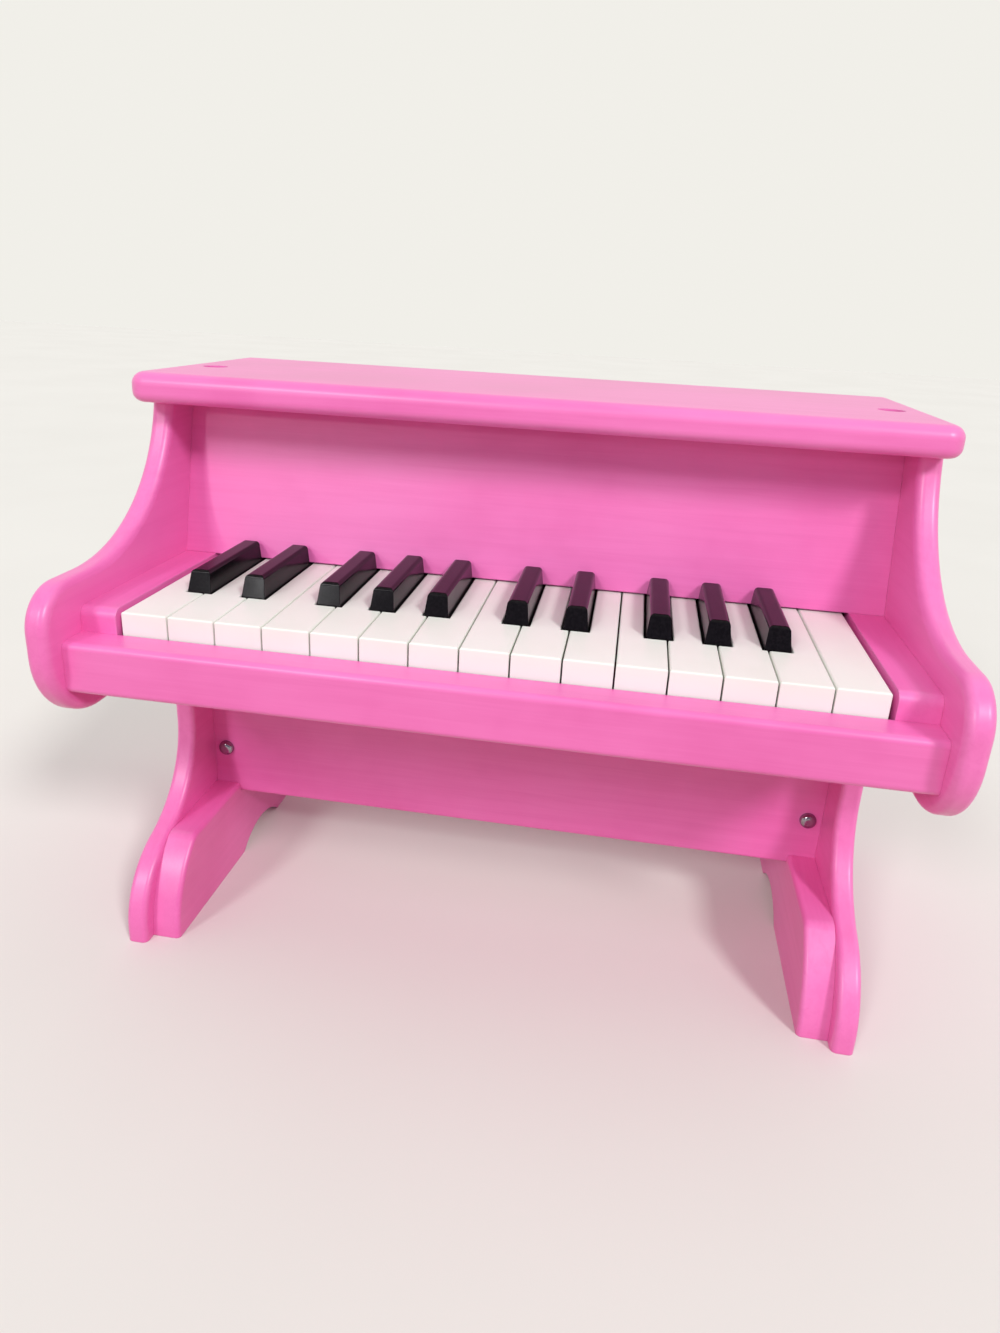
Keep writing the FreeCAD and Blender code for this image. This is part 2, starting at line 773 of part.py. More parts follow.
def fasteners():
    chamfer = ("Chamfer", dim.screw_head_chamfer)
    pan = (dim.screw_head_diameter, dim.screw_head_height)
    sunk = (dim.screw_head_diameter - 2 * dim.screw_clearance, dim.screw_head_height)
    sunk_in_lid = (dim.lid_screw_head_diameter - 2 * dim.screw_clearance, dim.screw_head_height)
    dome = (dim.bolt_head_diameter, dim.bolt_head_height)
    screws("modesty_bolts", "XZ_Plane", -dim.modesty_setback, bolt_places(),
           (dim.bolt_diameter, dim.bolt_length), dome, ("Fillet", dim.bolt_head_round))
    screws("leg_screws", "XY_Plane", LEG_SCREW_SEAT, leg_screw_places(),
           (dim.screw_diameter, LEG_SCREW_SEAT - KEYBED_BOTTOM + dim.screw_grip), sunk, chamfer)
    screws("lid_screws", "XY_Plane", LID_SCREW_SEAT, lid_screw_places(),
           (dim.screw_diameter, LID_SCREW_SEAT - LID_BOTTOM + dim.screw_grip), sunk_in_lid, chamfer)
    screws("back_panel_screws", "XZ_Plane", -SIDE_BACK, back_screw_places(),
           (dim.screw_diameter, dim.back_thickness + dim.batten_depth / 2), pan, chamfer, faces_out=False)
    barrel_nuts()


# Key action

def lever(body, x):
    """A key's lever behind the panel, with its pivot bore and the hammer on its tail."""
    bottom, top = -dim.key_skirt, -dim.lever_drop
    front, back = STRIKE_Y - dim.hammer_thickness / 2, STRIKE_Y + dim.hammer_thickness / 2
    rise = dim.key_dip * dim.hammer_reach / dim.pivot_reach
    head = dim.bar_rise - dim.hammer_gap - rise
    shoulder = head - dim.hammer_round
    profile = new_sketch(body, "YZ_Plane", x)
    draw(profile, [
        (dim.key_length - dim.lever_lap, bottom),
        (back + dim.tail_length, bottom),
        (back + dim.tail_length, top),
        (back, top),
        (back, shoulder),
        (back - dim.hammer_round, head, dim.hammer_round, 1),
        (front + dim.hammer_round, head),
        (front, shoulder, dim.hammer_round, 1),
        (front, top),
        (dim.key_length - dim.lever_lap, top),
    ])
    pad(body, profile, dim.lever_width, middle=True)
    bore = new_sketch(body, "YZ_Plane", x)
    draw_circle(bore, dim.pivot_reach, PIVOT_Z, dim.pivot_diameter / 2 + dim.pivot_clearance)
    cut_through(body, bore)


def key_plan(tail, inset, end):
    """A white key from above, drawn in by an inset: a full-width front, and a tail between black keys."""
    left, right = dim.key_gap / 2 + inset, dim.key_pitch - dim.key_gap / 2 - inset
    tail_left, tail_right = tail[0] + inset, tail[1] - inset
    shoulder = dim.black_setback - dim.key_gap - inset
    plan = [(left, inset), (right, inset)]
    if tail_right.number < right.number:
        plan += [(right, shoulder), (tail_right, shoulder)]
    plan += [(tail_right, end), (tail_left, end)]
    if tail_left.number > left.number:
        plan += [(tail_left, shoulder), (left, shoulder)]
    return plan


def white_key(number):
    body = new_body(f"white_key_{number:02d}", white_left(number))
    tail = white_tail(number)
    outline = new_sketch(body, "XY_Plane", -dim.key_skirt)
    draw(outline, key_plan(tail, 0, PANEL_BACK))
    shell = pad(body, outline, dim.key_skirt)
    round_edges(body, shell, dim.key_round,
                lambda box: flat_in(box.ZMin, box.ZMax, 0) and not flat_in(box.YMin, box.YMax, PANEL_BACK))
    hollow = new_sketch(body, "XY_Plane", -dim.key_skirt)
    draw(hollow, key_plan(tail, dim.key_wall, dim.key_length - dim.lever_lap))
    cut(body, hollow, dim.key_skirt - dim.key_wall, reverse=True)
    lever(body, white_centre(number))


def black_key(number, after):
    body = new_body(f"black_key_{number:02d}", black_centre(after))
    half, top_half, height = dim.black_width / 2, dim.black_top_width / 2, dim.black_height
    end = dim.key_length - dim.black_gap
    base = new_sketch(body, "XY_Plane", -dim.key_skirt)
    draw(base, rectangle(-half, dim.black_setback, half, PANEL_BACK))
    pad(body, base, dim.key_skirt)
    section = new_sketch(body, "XZ_Plane", -end)
    draw(section, [(-half, 0), (half, 0), (top_half, height), (-top_half, height)])
    pad(body, section, end - dim.black_setback)
    front = new_sketch(body, "YZ_Plane")
    over = height + dim.cut_overrun
    draw(front, [
        (dim.black_setback, 0),
        (dim.black_setback + dim.black_front_slope * over / height, over),
        (dim.black_setback - dim.cut_overrun, over),
        (dim.black_setback - dim.cut_overrun, 0),
    ])
    cap = cut_through(body, front)
    round_edges(body, cap, dim.black_round, lambda box: flat_in(box.ZMin, box.ZMax, height)
                and not flat_in(box.YMin, box.YMax, end))
    lever(body, 0)


def keys():
    black = 0
    for number in range(1, WHITE_KEYS + 1):
        white_key(number)
        if black_shift(number):
            black += 1
            black_key(black, number)


def along_rod(start, diameter, length):
    """A cylinder along the keyboard on the pivot's axis."""
    turn = FreeCAD.Rotation(FreeCAD.Vector(0, 0, 1), FreeCAD.Vector(1, 0, 0))
    return cylinder((start, dim.pivot_reach, PIVOT_Z), diameter, length, turn)


def balance_rail():
    front, back = dim.pivot_reach - dim.balance_depth / 2, dim.pivot_reach + dim.balance_depth / 2
    top, crest = -dim.key_skirt - dim.balance_clearance, PIVOT_Z + dim.tooth_rise
    half = dim.tooth_thickness / 2
    comb = doc.addObject("Part::MultiFuse", "comb")
    comb.Shapes = [block((-INNER_HALF, front, KEYBED_TOP), (INNER_HALF, back, top))] + [
        block((x - half, front, top), (x + half, back, crest)) for x in TEETH]
    comb.Refine = True
    bore = along_rod(-INNER_HALF, dim.pivot_diameter + 2 * dim.pivot_clearance, 2 * INNER_HALF)
    keep(difference(comb, bore), "balance_rail")


def pivot_rod():
    start = TEETH[0] - dim.rod_end_length
    keep(along_rod(start, dim.pivot_diameter, TEETH[-1] + dim.rod_end_length - start), "pivot_rod")


def stops():
    seat = -dim.key_skirt - dim.rest_clearance
    front, back = STRIKE_Y - dim.rest_depth / 2, STRIKE_Y + dim.rest_depth / 2
    felt = seat - dim.rest_felt_thickness
    board("rest_rail", (-KEYS_HALF, front, KEYBED_TOP), (KEYS_HALF, back, felt))
    board("rest_felt", (-KEYS_HALF, front, felt), (KEYS_HALF, back, seat))
    fall = dim.key_dip * (dim.pivot_reach - dim.stop_reach) / dim.pivot_reach
    board("stop_felt", (-KEYS_HALF, dim.stop_reach, KEYBED_TOP),
          (KEYS_HALF, dim.stop_reach + dim.stop_depth, seat - fall))


def spring_comb():
    """A steel strip on the keybed, with a finger up to each lever."""
    body = new_body("spring_comb")
    bend = dim.spring_reach + dim.spring_strip_depth
    tip = bend + dim.spring_finger_length
    seat = -dim.key_skirt - dim.rest_clearance
    strip = new_sketch(body, "XY_Plane", KEYBED_TOP)
    draw(strip, rectangle(-KEYS_HALF, dim.spring_reach, KEYS_HALF, bend))
    pad(body, strip, dim.spring_thickness)
    for x in LEVERS:
        finger = new_sketch(body, "YZ_Plane", x)
        draw(finger, [
            (bend, KEYBED_TOP),
            (tip, seat - dim.spring_thickness),
            (tip, seat),
            (bend, KEYBED_TOP + dim.spring_thickness),
        ])
        pad(body, finger, dim.spring_finger_width, middle=True)


# Tone bars

def bar_length(index):
    """A bar's length halves over two octaves, as its pitch rises."""
    return dim.bar_length * 2 ** (-index / SEMITONES_TO_HALVE)


def rail_line(side, x):
    """The middle of a bar rail, in front of (-1) or behind (1) the hammers, at a place across the piano."""
    bass = dim.bar_length * dim.bar_node_share
    along = (x + INNER_HALF) / (2 * INNER_HALF)
    return STRIKE_Y + side * bass * (1 - (1 - dim.treble_share) * along)


def slanted_strip(label, side, width, bottom, height):
    body = new_body(label)
    sketch = new_sketch(body, "XY_Plane", bottom)
    bass, treble = rail_line(side, -INNER_HALF), rail_line(side, INNER_HALF)
    draw(sketch, [
        (-INNER_HALF, bass - width / 2),
        (INNER_HALF, treble - width / 2),
        (INNER_HALF, treble + width / 2),
        (-INNER_HALF, bass + width / 2),
    ])
    pad(body, sketch, height)


def bar_rails():
    for side, end in ((-1, "front"), (1, "rear")):
        slanted_strip(f"{end}_bar_rail", side, dim.bar_rail_width, RAIL_BOTTOM, dim.bar_rail_height)
        slanted_strip(f"{end}_bar_felt", side, dim.bar_felt_width, BAR_SEAT, dim.bar_felt_thickness)


def tone_bars():
    bars = []
    bottom, top = dim.bar_rise, dim.bar_rise + dim.bar_thickness
    side = dim.bar_width / 2
    bore = dim.bar_pin_diameter + 2 * dim.bar_pin_clearance
    for index, x in enumerate(LEVERS):
        half = bar_length(index) / 2
        bar = block((x - side, STRIKE_Y - half, bottom), (x + side, STRIKE_Y + half, top))
        hole = cylinder((x, rail_line(-1, x), bottom - dim.cut_overrun), bore,
                        dim.bar_thickness + 2 * dim.cut_overrun)
        bars.append(difference(bar, hole))
    together("tone_bars", bars)


def bar_pins():
    """A pin through each bar into the front rail, and a pin beside each bar in the rear rail."""
    bottom = dim.bar_rise + dim.bar_thickness + dim.bar_pin_rise - dim.bar_pin_length
    edge = dim.bar_width / 2 + dim.bar_pin_diameter
    guides = [LEVERS[0] - edge] + BETWEEN + [LEVERS[-1] + edge]
    spots = [(x, rail_line(-1, x), bottom) for x in LEVERS] + [(x, rail_line(1, x), bottom) for x in guides]
    together("bar_pins", [cylinder(spot, dim.bar_pin_diameter, dim.bar_pin_length) for spot in spots])


def rail_posts():
    body = new_body("rail_posts")
    inner = INNER_HALF - dim.cheek_width
    reach = dim.bar_length * dim.bar_node_share + dim.bar_rail_width / 2 + dim.post_margin
    sketch = new_sketch(body, "XY_Plane", KEYBED_TOP)
    for low, high in ((inner, INNER_HALF), (-INNER_HALF, -inner)):
        draw(sketch, rectangle(low, STRIKE_Y - reach, high, STRIKE_Y + reach))
    pad(body, sketch, RAIL_BOTTOM - KEYBED_TOP)


def write_parts():
    """Check every object, then write one file for each sub-part."""
    doc.recompute()
    for thing in doc.Objects:
        if "Invalid" in thing.State or "Error" in thing.State:
            raise RuntimeError(f"{thing.Label} failed: {thing.State}")
    for piece in pieces:
        if piece.Shape.isNull() or not piece.Shape.isValid() or not piece.Shape.Solids:
            raise RuntimeError(f"{piece.Label} has no valid solid")
    os.makedirs("parts", exist_ok=True)
    for piece in pieces:
        piece.Shape.exportStep(f"parts/{piece.Label}.step")


def main():
    side_boards()
    lid()
    front_panel()
    panel_cleats()
    keybed()
    key_slip()
    cheek_blocks()
    back_panel()
    legs()
    feet()
    modesty_board()
    fasteners()
    keys()
    balance_rail()
    pivot_rod()
    stops()
    spring_comb()
    rail_posts()
    bar_rails()
    tone_bars()
    bar_pins()
    write_parts()


main()
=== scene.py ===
"""A pink toy piano: the finish of each piece, felts, spring leaves, screw heads, floor, light and camera."""
import json
import math

import bmesh
import bpy
from mathutils import Matrix, Vector, noise

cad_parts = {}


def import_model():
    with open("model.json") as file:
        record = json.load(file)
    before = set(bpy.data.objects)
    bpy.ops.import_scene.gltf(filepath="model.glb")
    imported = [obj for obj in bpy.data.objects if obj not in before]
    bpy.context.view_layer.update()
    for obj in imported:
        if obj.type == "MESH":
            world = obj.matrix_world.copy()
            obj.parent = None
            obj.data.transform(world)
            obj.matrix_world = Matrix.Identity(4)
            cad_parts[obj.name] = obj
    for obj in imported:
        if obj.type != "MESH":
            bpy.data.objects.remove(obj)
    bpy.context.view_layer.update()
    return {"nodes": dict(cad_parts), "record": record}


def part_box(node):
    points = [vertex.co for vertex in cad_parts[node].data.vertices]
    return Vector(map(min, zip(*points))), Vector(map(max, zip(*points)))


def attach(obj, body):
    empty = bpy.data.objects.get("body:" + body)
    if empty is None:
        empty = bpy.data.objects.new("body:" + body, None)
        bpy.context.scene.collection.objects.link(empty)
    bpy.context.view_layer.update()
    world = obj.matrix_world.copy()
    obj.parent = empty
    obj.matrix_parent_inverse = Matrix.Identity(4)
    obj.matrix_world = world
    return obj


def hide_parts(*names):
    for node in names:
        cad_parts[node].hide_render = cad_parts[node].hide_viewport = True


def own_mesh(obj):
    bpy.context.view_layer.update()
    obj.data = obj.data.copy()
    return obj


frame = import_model()
NODES = frame["nodes"]
SLOT_OF = {part["node"]: part["material_slot"] for part in frame["record"]["subparts"]}
MM = 0.001

# Colours, linear
PINK_DEEP = (0.80, 0.118, 0.42, 1)
PINK = (0.89, 0.168, 0.505, 1)
PINK_PALE = (0.92, 0.205, 0.55, 1)
# Paler pink along sharp edges: partly thinner paint, partly a painted highlight where the edges catch the
# light
PINK_EDGE_WEAR_AND_HIGHLIGHT = (0.93, 0.27, 0.60, 1)
PINK_DUSTY = (0.50, 0.24, 0.36, 1)
PINK_GREY = (0.58, 0.30, 0.43, 1)
IVORY_DEEP = (0.86, 0.885, 0.805, 1)
IVORY = (0.90, 0.93, 0.86, 1)
EBONY = (0.004, 0.003, 0.004, 1)
EBONY_PALE = (0.010, 0.008, 0.010, 1)
WOOD_DARK = (0.47, 0.29, 0.15, 1)
WOOD = (0.64, 0.45, 0.27, 1)
WOOD_PALE = (0.75, 0.58, 0.38, 1)
FELT_DEEP = (0.30, 0.018, 0.03, 1)
FELT_RED = (0.50, 0.04, 0.06, 1)
STEEL_DULL = (0.42, 0.42, 0.43, 1)
STEEL = (0.62, 0.63, 0.65, 1)
# Chrome darkened and tinted plum: painted shade under the keybed and a painted reflection of the pink parts
# around it
CHROME_IN_PAINTED_SHADE = (0.34, 0.30, 0.33, 1)
CHROME_FRECKLE_IN_PAINTED_SHADE = (0.24, 0.21, 0.23, 1)
FLOOR_PALE = (0.80, 0.785, 0.74, 1)
FLOOR_SHADE = (0.78, 0.765, 0.72, 1)
FLOOR_BOUNCE = (0.52, 0.38, 0.31, 1)
ROOM_DIM = (0.29, 0.285, 0.39, 1)
ROOM_BRIGHT = (0.74, 0.735, 0.72, 1)
BACKGROUND = (0.880, 0.865, 0.815, 1)


class Graph:
    """The node tree of a material or of the world, with short ways to add nodes and join them."""

    def __init__(self, name, kind=bpy.data.materials):
        self.owner = kind.new(name)
        self.owner.use_nodes = True
        self.nodes = self.owner.node_tree.nodes
        self.links = self.owner.node_tree.links

    def fill(self, sockets, inputs):
        """Set each named input, or join it where its value is an output of another node."""
        for name, value in inputs.items():
            if isinstance(value, bpy.types.NodeSocket):
                self.links.new(value, sockets[name])
            else:
                sockets[name].default_value = value

    def add(self, kind, inputs=None, **settings):
        node = self.nodes.new(kind)
        for name, value in settings.items():
            setattr(node, name, value)
        self.fill(node.inputs, inputs or {})
        return node

    def surface(self, **inputs):
        """Inputs of the material's surface, by their names with an underscore for each space."""
        named = {name.replace("_", " "): value for name, value in inputs.items()}
        self.fill(self.nodes["Principled BSDF"].inputs, named)

    def place(self, stretch=(1, 1, 1)):
        """Points of the piece in metres, multiplied along each axis by the stretch."""
        points = self.add("ShaderNodeTexCoord").outputs["Object"]
        return self.add("ShaderNodeMapping", {"Vector": points, "Scale": stretch}).outputs["Vector"]

    def clouds(self, place, scale=1, detail=2, roughness=0.5, distortion=0):
        inputs = {"Vector": place, "Scale": scale, "Detail": detail, "Roughness": roughness,
                  "Distortion": distortion}
        return self.add("ShaderNodeTexNoise", inputs).outputs["Fac"]

    def spread(self, value, low, high, start=0.3, end=0.7):
        """A value that runs from low to high while the given one runs from start to end."""
        inputs = {"Value": value, "From Min": start, "From Max": end, "To Min": low, "To Max": high}
        return self.add("ShaderNodeMapRange", inputs).outputs["Result"]

    def ramp(self, value, *stops):
        node = self.add("ShaderNodeValToRGB", {"Fac": value})
        marks = node.color_ramp.elements
        while len(marks) < len(stops):
            marks.new(1)
        for mark, (position, colour) in zip(marks, stops):
            mark.position = position
            mark.color = colour
        return node.outputs["Color"]

    def mix(self, factor, first, second):
        node = self.add("ShaderNodeMix", data_type="RGBA")
        sockets = {socket.identifier: socket for socket in node.inputs}
        self.fill(sockets, {"Factor_Float": factor, "A_Color": first, "B_Color": second})
        return [socket for socket in node.outputs if socket.identifier == "Result_Color"][0]

    def bump(self, height, strength, depth, normal=None):
        inputs = {"Height": height, "Strength": strength, "Distance": depth}
        if normal is not None:
            inputs["Normal"] = normal
        return self.add("ShaderNodeBump", inputs).outputs["Normal"]

    def soft_edges(self, radius):
        return self.add("ShaderNodeBevel", {"Radius": radius}, samples=4).outputs["Normal"]

    def edge_share(self, rounded):
        """Near 1 along a sharp edge, where the rounded normal leaves the true one, and 0 on flats."""
        flat = self.add("ShaderNodeNewGeometry").outputs["Normal"]
        agree = self.add("ShaderNodeVectorMath", {0: rounded, 1: flat}, operation="DOT_PRODUCT")
        return self.spread(agree.outputs["Value"], low=1, high=0, start=0.75, end=0.995)

    def seen(self, *kinds):
        """1 for rays of these kinds, such as those that the camera sees straight, and 0 for others."""
        path = self.add("ShaderNodeLightPath").outputs
        share = 0
        for kind in kinds:
            either = self.add("ShaderNodeMath", {0: share, 1: path[f"Is {kind} Ray"]}, operation="MAXIMUM")
            share = either.outputs["Value"]
        return share


# Materials
def along(axis, length, across):
    """A stretch with one value along an axis and one across it: the smaller draws a pattern out."""
    return tuple(length if name == axis else across for name in "XYZ")


def painted_wood(axis):
    """Gloss paint on a sanded board: drifts of tone, grain and brush marks, orange peel, and paler edges
    that are partly thinner paint and partly a painted highlight.
    """
    graph = Graph("pink_paint_" + axis.lower())
    place = graph.place()
    fibres = graph.place(along(axis, length=9, across=210))
    strokes = graph.place(along(axis, length=22, across=900))
    grain = graph.clouds(fibres, detail=5, roughness=0.62, distortion=0.6)
    brush = graph.clouds(strokes, detail=3, roughness=0.55)
    drift = graph.clouds(place, scale=9, detail=4, roughness=0.55)
    peel = graph.clouds(place, scale=520)
    waves = graph.clouds(place, scale=60)
    rounded = graph.soft_edges(radius=0.9 * MM)
    tone = graph.ramp(drift, (0.3, PINK_DEEP), (0.48, PINK), (0.72, PINK_PALE))
    tone = graph.mix(graph.spread(grain, low=0, high=0.45, start=0.42, end=0.72), tone, PINK_DEEP)
    tone = graph.mix(graph.spread(brush, low=0, high=0.3, start=0.45, end=0.8), tone, PINK_PALE)
    # Paler pink along sharp edges: thinner paint there, and a painted highlight where the edges catch the
    # light
    tone = graph.mix(graph.edge_share(rounded), tone, PINK_EDGE_WEAR_AND_HIGHLIGHT)
    normal = graph.bump(waves, strength=0.10, depth=0.35 * MM, normal=rounded)
    normal = graph.bump(grain, strength=0.12, depth=0.25 * MM, normal=normal)
    normal = graph.bump(brush, strength=0.08, depth=0.12 * MM, normal=normal)
    normal = graph.bump(peel, strength=0.07, depth=0.12 * MM, normal=normal)
    graph.surface(Base_Color=tone, Roughness=graph.spread(drift, low=0.42, high=0.54), Normal=normal,
                  Specular_IOR_Level=0.6, Coat_Weight=0.6, Coat_Roughness=0.32)
    return graph.owner


def white_plastic():
    """Moulded keys: warm white, a little deeper in drifts, with slight sinks and a fine moulded skin."""
    graph = Graph("white_plastic")
    place = graph.place()
    drift = graph.clouds(place, scale=22, detail=3)
    skin = graph.clouds(place, scale=900)
    sink = graph.clouds(place, scale=70, detail=1)
    normal = graph.bump(sink, strength=0.04, depth=0.2 * MM, normal=graph.soft_edges(radius=0.45 * MM))
    normal = graph.bump(skin, strength=0.01, depth=0.03 * MM, normal=normal)
    graph.surface(Base_Color=graph.ramp(drift, (0.25, IVORY_DEEP), (0.6, IVORY)), Normal=normal,
                  Roughness=graph.spread(skin, low=0.32, high=0.38), Specular_IOR_Level=0.2)
    return graph.owner


def black_plastic():
    """Gloss black keys with fine handling marks along their length."""
    graph = Graph("black_plastic")
    marks = graph.clouds(graph.place(along("Y", length=30, across=900)), detail=3, roughness=0.6)
    smears = graph.clouds(graph.place(), scale=45, detail=3)
    normal = graph.bump(smears, strength=0.03, depth=0.2 * MM, normal=graph.soft_edges(radius=0.5 * MM))
    normal = graph.bump(marks, strength=0.015, depth=0.05 * MM, normal=normal)
    graph.surface(Base_Color=graph.ramp(marks, (0.4, EBONY), (0.75, EBONY_PALE)), Normal=normal,
                  Roughness=graph.spread(smears, low=0.14, high=0.22), Specular_IOR_Level=0.12)
    return graph.owner


def bare_wood():
    """Sawn softwood rails: bands along X with fine pores."""
    graph = Graph("bare_wood")
    bands = graph.place(along("X", length=5, across=150))
    grain = graph.clouds(bands, detail=4, roughness=0.55, distortion=1.2)
    pores = graph.clouds(graph.place(along("X", length=60, across=1800)))
    tone = graph.ramp(grain, (0.3, WOOD_DARK), (0.5, WOOD), (0.72, WOOD_PALE))
    tone = graph.mix(graph.spread(pores, low=0, high=0.35), tone, WOOD_DARK)
    normal = graph.bump(grain, strength=0.15, depth=0.3 * MM, normal=graph.soft_edges(radius=0.4 * MM))
    normal = graph.bump(pores, strength=0.2, depth=0.15 * MM, normal=normal)
    graph.surface(Base_Color=tone, Roughness=graph.spread(pores, low=0.55, high=0.75), Normal=normal)
    return graph.owner


def felt():
    """Pressed wool: matted fibres with a soft sheen."""
    graph = Graph("red_felt")
    place = graph.place()
    matting = graph.clouds(place, scale=320, detail=5, roughness=0.7, distortion=1.5)
    fibres = graph.clouds(place, scale=2600, detail=3, roughness=0.7, distortion=2)
    tone = graph.ramp(matting, (0.3, FELT_DEEP), (0.7, FELT_RED))
    normal = graph.bump(matting, strength=0.5, depth=0.4 * MM)
    normal = graph.bump(fibres, strength=0.5, depth=0.15 * MM, normal=normal)
    graph.surface(Base_Color=tone, Roughness=graph.spread(fibres, low=0.85, high=1), Normal=normal,
                  Sheen_Weight=0.5, Sheen_Roughness=0.5)
    return graph.owner


def steel():
    """Plain drawn steel: dull patches and draw lines along Y."""
    graph = Graph("steel")
    lines = graph.clouds(graph.place(along("Y", length=40, across=2400)), detail=3, roughness=0.6)
    patches = graph.clouds(graph.place(), scale=90, detail=3)
    tone = graph.ramp(patches, (0.3, STEEL_DULL), (0.65, STEEL))
    normal = graph.bump(lines, strength=0.15, depth=0.05 * MM)
    graph.surface(Base_Color=tone, Metallic=1, Roughness=graph.spread(lines, low=0.26, high=0.44),
                  Normal=normal)
    return graph.owner


def chrome():
    """Plating with a few dull freckles, its colour darkened and tinted plum: a painted shade and a painted
    reflection of the dim pink parts around it.
    """
    graph = Graph("chrome")
    freckles = graph.clouds(graph.place(), scale=900, detail=3)
    # Darkened, plum-tinted plating as painted shade and painted reflection, with dull freckles
    tone = graph.ramp(freckles, (0.55, CHROME_IN_PAINTED_SHADE), (0.8, CHROME_FRECKLE_IN_PAINTED_SHADE))
    normal = graph.bump(freckles, strength=0.04, depth=0.03 * MM)
    graph.surface(Base_Color=tone, Metallic=1, Roughness=graph.spread(freckles, low=0.07, high=0.2),
                  Normal=normal)
    return graph.owner


def dusty_paint():
    """Thin dull paint over the sunk screw heads of the lid."""
    graph = Graph("dusty_pink_paint")
    patches = graph.clouds(graph.place(), scale=700, detail=4, roughness=0.6)
    tone = graph.ramp(patches, (0.35, PINK_DUSTY), (0.65, PINK_GREY))
    normal = graph.bump(patches, strength=0.25, depth=0.1 * MM)
    graph.surface(Base_Color=tone, Roughness=graph.spread(patches, low=0.45, high=0.7), Normal=normal)
    return graph.owner


PAINT = {axis: painted_wood(axis) for axis in "XYZ"}
FINISH = {
    "bare_wood": bare_wood(),
    "felt": felt(),
    "steel": steel(),
    "chrome": chrome(),
    "white_plastic": white_plastic(),
    "black_plastic": black_plastic(),
}


def longest_axis(node):
    low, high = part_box(node)
    sides = high - low
    return "XYZ"[max(range(3), key=lambda index: sides[index])]


def dress_nodes():
    """Give every CAD node the finish of its slot, and paint with its grain along the node."""
    for name, node in NODES.items():
        slot = SLOT_OF[name]
        finish = PAINT[longest_axis(name)] if slot == "pink_paint" else FINISH[slot]
        for holder in node.material_slots:
            holder.material = finish


# Pieces made here
WELD = 0.01 * MM


def mesh_of(node):
    """A working copy of a node's mesh, with its faces joined along their edges."""
    work = bmesh.new()
    work.from_mesh(NODES[node].data)
    bmesh.ops.remove_doubles(work, verts=work.verts, dist=WELD)
    return work


def everything_in(work):
    return work.verts[:] + work.edges[:] + work.faces[:]


def cut_in_steps(work, axis, low, high, step):
    """Cut a working mesh across an axis at even steps between two corners, so that its faces can bend."""
    normal = Vector([float(index == axis) for index in range(3)])
    place = low[axis] + step
    while place < high[axis]:
        bmesh.ops.bisect_plane(work, geom=everything_in(work), plane_co=normal * place, plane_no=normal)
        place += step


def islands(work):
    """The lowest and highest corners of each solid in a working mesh, from the left. The mesh is dropped."""
    unseen = set(work.verts)
    boxes = []
    while unseen:
        island = {unseen.pop()}
        frontier = list(island)
        while frontier:
            vert = frontier.pop()
            near = {link.other_vert(vert) for link in vert.link_edges} & unseen
            unseen -= near
            island |= near
            frontier += near
        corners = [[pick(vert.co[axis] for vert in island) for axis in range(3)] for pick in (min, max)]
        boxes.append((Vector(corners[0]), Vector(corners[1])))
    work.free()
    return sorted(boxes, key=lambda box: tuple(box[0]))


def mesh_from(work, name):
    """The mesh that a working mesh leaves, which is then dropped."""
    mesh = bpy.data.meshes.new(name)
    work.to_mesh(mesh)
    work.free()
    return mesh


def put(name, data):
    """A new object in the scene."""
    thing = bpy.data.objects.new(name, data)
    bpy.context.scene.collection.objects.link(thing)
    return thing


def new_piece(work, name, material, replaced):
    """A piece of the cabinet made of a working mesh, in place of a CAD node."""
    bmesh.ops.recalc_face_normals(work, faces=work.faces)
    piece = put(name, mesh_from(work, name))
    piece.data.materials.append(material)
    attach(piece, "cabinet")
    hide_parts(replaced)
    return piece


# Felts
FELT_FLAT = math.radians(1)
FELT_EDGE = 0.5 * MM
FELT_STEP = 3 * MM
FELT_NAP = 0.22 * MM
FELT_NAP_PITCH = 2.4 * MM


def felt_strip(node):
    """A strip of pressed felt in the space of its solid: soft edges and an uneven nap."""
    work = mesh_of(node)
    bmesh.ops.dissolve_limit(work, angle_limit=FELT_FLAT, verts=work.verts, edges=work.edges)
    bmesh.ops.bevel(work, geom=work.edges[:], offset=FELT_EDGE, segments=2, profile=0.5, affect="EDGES")
    low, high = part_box(node)
    for axis in (0, 1):
        cut_in_steps(work, axis, low, high, FELT_STEP)
    work.normal_update()
    for vert in work.verts:
        sink = 1 - noise.noise(vert.co / FELT_NAP_PITCH)
        vert.co -= vert.normal * FELT_NAP * sink / 2
    piece = new_piece(work, node + "_strip", FINISH["felt"], node)
    piece.data.shade_smooth()


# Key springs, one leaf under each key, with the kinds of keys in an octave from C up
OCTAVE = ("white", "black", "white", "black", "white", "white", "black", "white", "black", "white", "black",
          "white")
LEAF_STEP = 1.5 * MM
LEAF_BOW = 0.5 * MM
LEAF_TIP = 1.6 * MM
LEAF_TIP_WIDTH = 0.5
LEAF_MARGIN = 0.05 * MM


def keys_in_order(count):
    """The names of the keys from bass to treble."""
    tally = {"white": 0, "black": 0}
    names = []
    for index in range(count):
        kind = OCTAVE[index % len(OCTAVE)]
        tally[kind] += 1
        names.append(f"{kind}_key_{tally[kind]:02d}")
    return names


def half_of(node, place, keep_rear):
    """The part of a node's mesh in front of a place along Y, or behind it, closed at the cut."""
    work = mesh_of(node)
    bmesh.ops.bisect_plane(work, geom=everything_in(work), plane_co=(0, place, 0), plane_no=(0, 1, 0),
                           clear_inner=keep_rear, clear_outer=not keep_rear)
    bmesh.ops.holes_fill(work, edges=[edge for edge in work.edges if edge.is_boundary])
    return work


